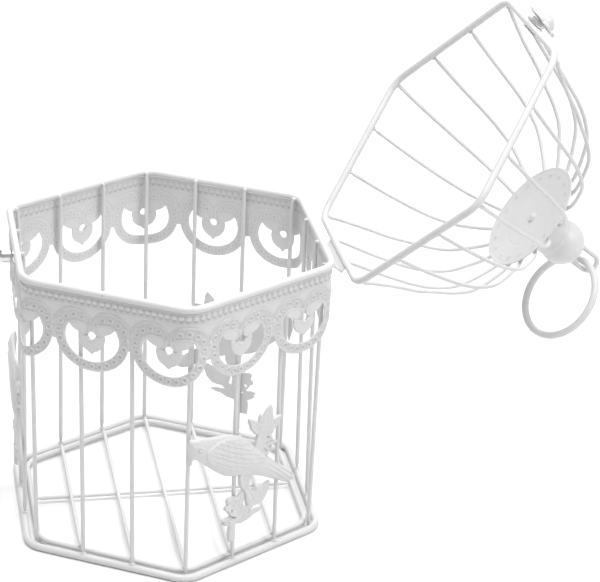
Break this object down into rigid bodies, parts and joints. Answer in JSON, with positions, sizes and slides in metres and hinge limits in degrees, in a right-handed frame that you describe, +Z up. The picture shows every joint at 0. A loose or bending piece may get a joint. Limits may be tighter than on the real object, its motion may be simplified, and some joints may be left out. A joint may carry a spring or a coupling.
{
  "type": "wedding card box",
  "caption": "Six-sided white wire birdcage card box with a hinged domed lid, a lift ring, a flower catch, bird ornaments and a lace-cut band round the mouth",
  "frame": {"origin": "middle of the bounding box's footprint, at the level of the surface the bottom rim stands on", "axes": "+Z up, +X from the cage towards the hinge and the open lid, +Y along the hinge pin"},
  "size_m": [0.4426, 0.2482, 0.3769],
  "materials": {
    "white_coat": "satin white powder coat",
    "bright_metal": "polished chrome plate"
  },
  "bodies": {
    "cage": {"bottom_rim": "white_coat", "base_ring": "white_coat", "top_rim": "white_coat", "filigree_band": "white_coat", "hinge_body_leaf": "white_coat", "hinge_pin": "white_coat", "catch_stud": "bright_metal", "floor_cross_wire": "white_coat", "floor_wire_1": "white_coat", "floor_wire_2": "white_coat", "floor_wire_3": "white_coat", "floor_wire_4": "white_coat", "floor_wire_5": "white_coat", "bar_01": "white_coat", "bar_02": "white_coat", "bar_03": "white_coat", "bar_04": "white_coat", "bar_05": "white_coat", "bar_06": "white_coat", "bar_07": "white_coat", "bar_08": "white_coat", "bar_09": "white_coat", "bar_10": "white_coat", "bar_11": "white_coat", "bar_12": "white_coat", "bar_13": "white_coat", "bar_14": "white_coat", "bar_15": "white_coat", "bar_16": "white_coat", "bar_17": "white_coat", "bar_18": "white_coat", "bird_branch_1": "white_coat", "bird_branch_2": "white_coat", "bird_branch_3": "white_coat"},
    "lid": {"lid_rim": "white_coat", "cap_disc": "white_coat", "finial": "white_coat", "ring_eye": "white_coat", "hinge_lid_leaf": "white_coat", "rib_01": "white_coat", "rib_02": "white_coat", "rib_03": "white_coat", "rib_04": "white_coat", "rib_05": "white_coat", "rib_06": "white_coat", "rib_07": "white_coat", "rib_08": "white_coat", "rib_09": "white_coat", "rib_10": "white_coat", "rib_11": "white_coat", "rib_12": "white_coat", "rib_13": "white_coat", "rib_14": "white_coat", "rib_15": "white_coat", "rib_16": "white_coat", "rib_17": "white_coat", "rib_18": "white_coat"},
    "ring": {"ring_handle": "white_coat"},
    "clasp": {"clasp_tab": "white_coat", "clasp_flower": "white_coat"}
  },
  "joints": [
    {"name": "lid_hinge", "type": "hinge", "parent": "cage", "child": "lid", "pos_m": [0.00789, 0.00012, 0.2023], "axis": [0, -1, 0], "range_deg": [0, 128.2]},
    {"name": "ring_swing", "type": "hinge", "parent": "lid", "child": "ring", "pos_m": [0.21115, 0.00012, 0.17736], "axis": [0.2918, -0.9496, -0.1141], "range_deg": [-40, 200]},
    {"name": "clasp_swing", "type": "hinge", "parent": "lid", "child": "clasp", "pos_m": [0.15286, 0.00012, 0.36194], "axis": [0, 1, 0], "range_deg": [0, 60]}
  ]
}
